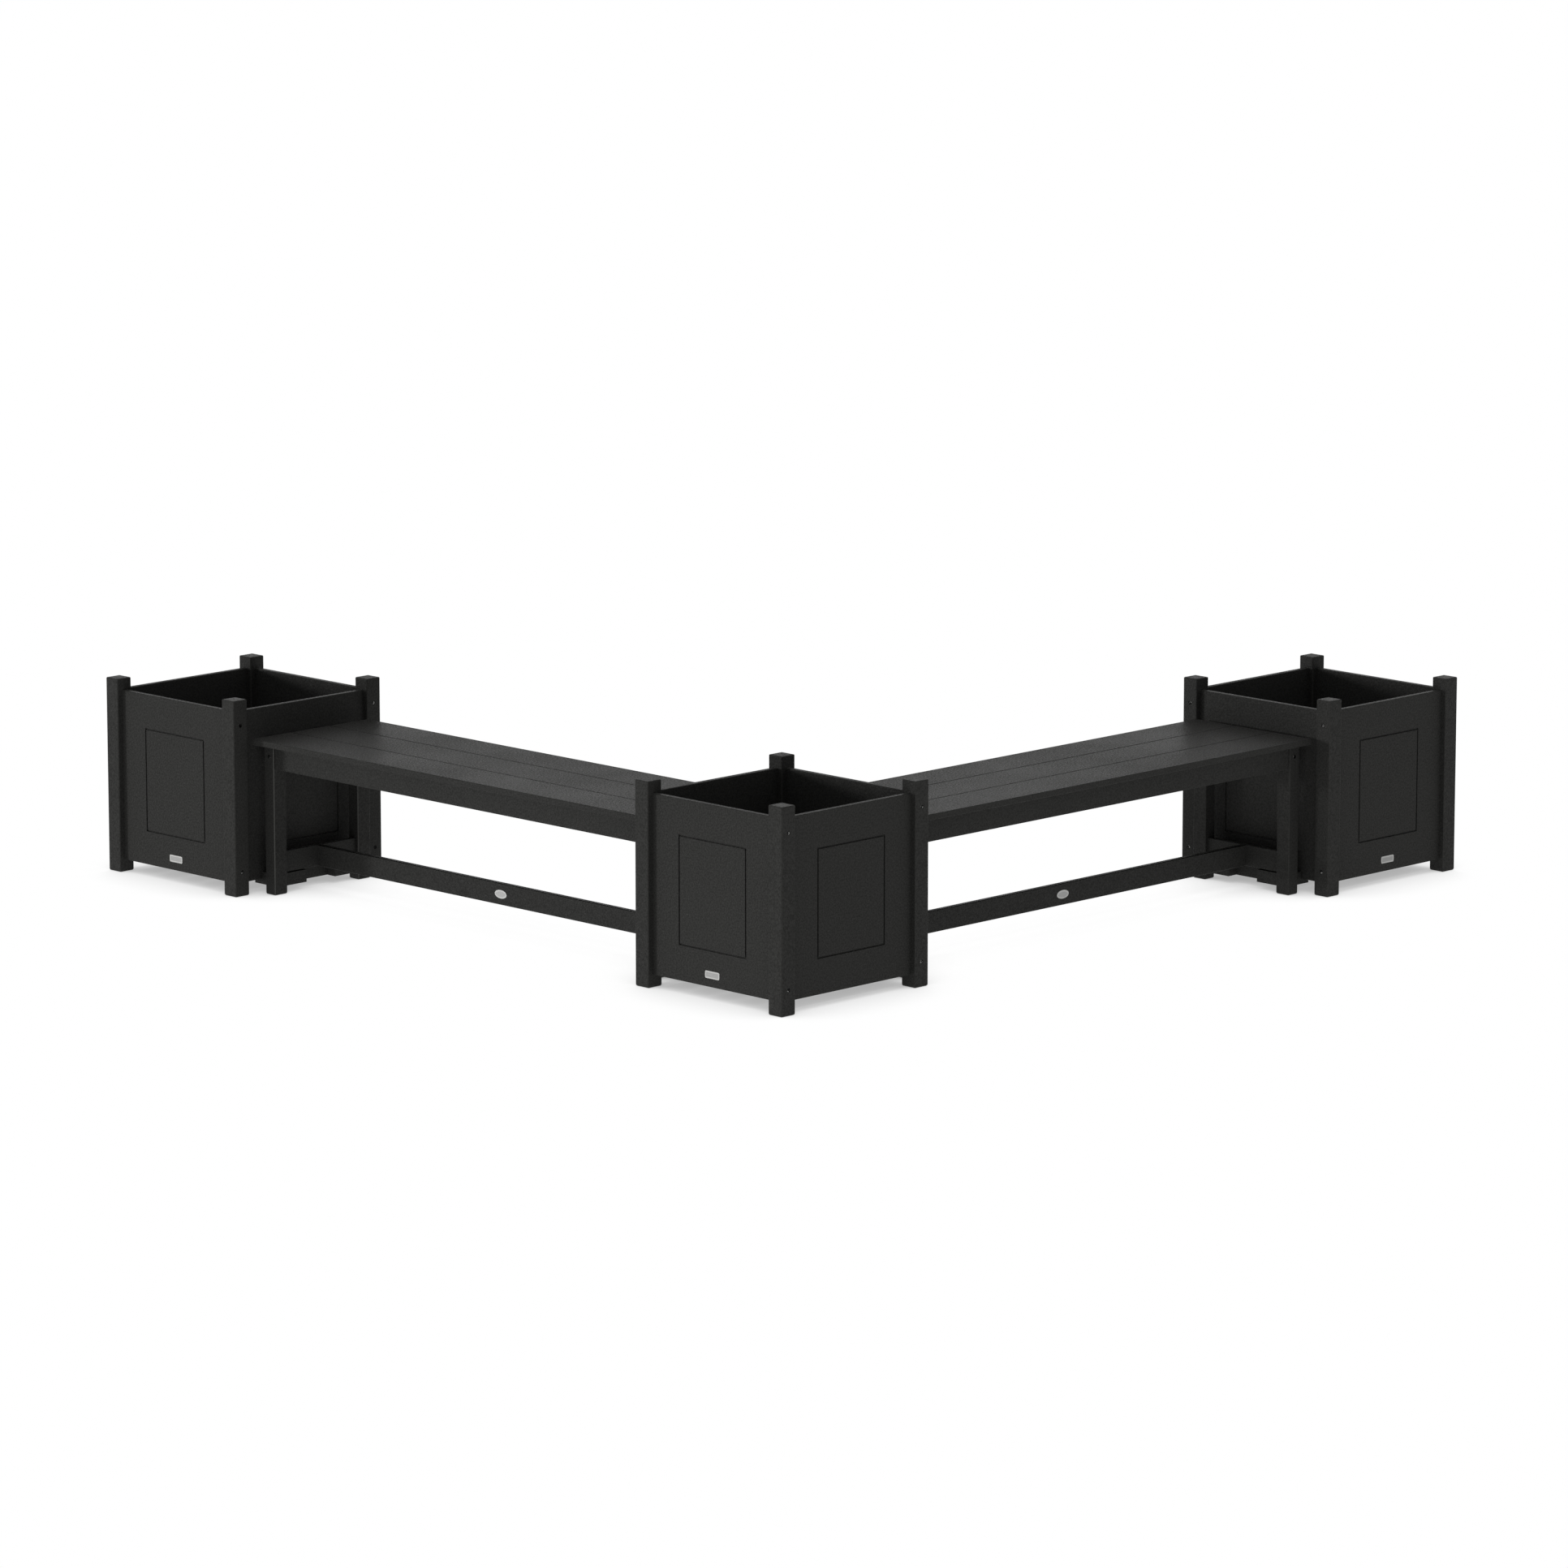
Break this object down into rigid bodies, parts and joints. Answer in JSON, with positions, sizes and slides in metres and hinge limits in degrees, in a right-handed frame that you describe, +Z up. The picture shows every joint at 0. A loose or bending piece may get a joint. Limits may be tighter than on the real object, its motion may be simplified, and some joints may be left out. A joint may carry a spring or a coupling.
{
  "type": "bench with planter",
  "caption": "L-shaped park bench set in plain plastic lumber: long board seats at a right angle, linked to square panelled planter boxes at the corner and at each end.",
  "frame": {"origin": "on the ground, under the middle of the square that the L-shaped set fills", "axes": "+Z up; the left bench runs along Y and the right bench along X, both from the corner planter at low X and low Y"},
  "size_m": [2.592, 2.592, 0.534],
  "materials": {
    "plastic_lumber": "fine orange-peel grain, satin to matte, through-coloured near black",
    "black_screw": "black coated steel, half gloss",
    "bare_plate": "fine brushed, bare"
  },
  "bodies": {
    "root": {"bench_screws": "black_screw", "corner_planter_floor_cleats": "plastic_lumber", "corner_planter_floor_slats": "plastic_lumber", "corner_planter_link_boards": "plastic_lumber", "corner_planter_panel_back_left": "plastic_lumber", "corner_planter_panel_back_right": "plastic_lumber", "corner_planter_panel_front_left": "plastic_lumber", "corner_planter_panel_front_right": "plastic_lumber", "corner_planter_post_back": "plastic_lumber", "corner_planter_post_front": "plastic_lumber", "corner_planter_post_left": "plastic_lumber", "corner_planter_post_right": "plastic_lumber", "label_plates": "bare_plate", "left_bench_apron_inner": "plastic_lumber", "left_bench_apron_outer": "plastic_lumber", "left_bench_legs_far": "plastic_lumber", "left_bench_legs_near": "plastic_lumber", "left_bench_lower_end_rails": "plastic_lumber", "left_bench_seat_battens": "plastic_lumber", "left_bench_seat_board_1": "plastic_lumber", "left_bench_seat_board_2": "plastic_lumber", "left_bench_seat_board_3": "plastic_lumber", "left_bench_stretcher": "plastic_lumber", "left_bench_upper_end_rails": "plastic_lumber", "left_planter_floor_cleats": "plastic_lumber", "left_planter_floor_slats": "plastic_lumber", "left_planter_link_boards": "plastic_lumber", "left_planter_panel_back_left": "plastic_lumber", "left_planter_panel_back_right": "plastic_lumber", "left_planter_panel_front_left": "plastic_lumber", "left_planter_panel_front_right": "plastic_lumber", "left_planter_post_back": "plastic_lumber", "left_planter_post_front": "plastic_lumber", "left_planter_post_left": "plastic_lumber", "left_planter_post_right": "plastic_lumber", "planter_screws": "black_screw", "right_bench_apron_inner": "plastic_lumber", "right_bench_apron_outer": "plastic_lumber", "right_bench_legs_far": "plastic_lumber", "right_bench_legs_near": "plastic_lumber", "right_bench_lower_end_rails": "plastic_lumber", "right_bench_seat_battens": "plastic_lumber", "right_bench_seat_board_1": "plastic_lumber", "right_bench_seat_board_2": "plastic_lumber", "right_bench_seat_board_3": "plastic_lumber", "right_bench_stretcher": "plastic_lumber", "right_bench_upper_end_rails": "plastic_lumber", "right_planter_floor_cleats": "plastic_lumber", "right_planter_floor_slats": "plastic_lumber", "right_planter_link_boards": "plastic_lumber", "right_planter_panel_back_left": "plastic_lumber", "right_planter_panel_back_right": "plastic_lumber", "right_planter_panel_front_left": "plastic_lumber", "right_planter_panel_front_right": "plastic_lumber", "right_planter_post_back": "plastic_lumber", "right_planter_post_front": "plastic_lumber", "right_planter_post_left": "plastic_lumber", "right_planter_post_right": "plastic_lumber", "seat_screws": "black_screw", "stretcher_badges": "bare_plate"}
  },
  "joints": []
}
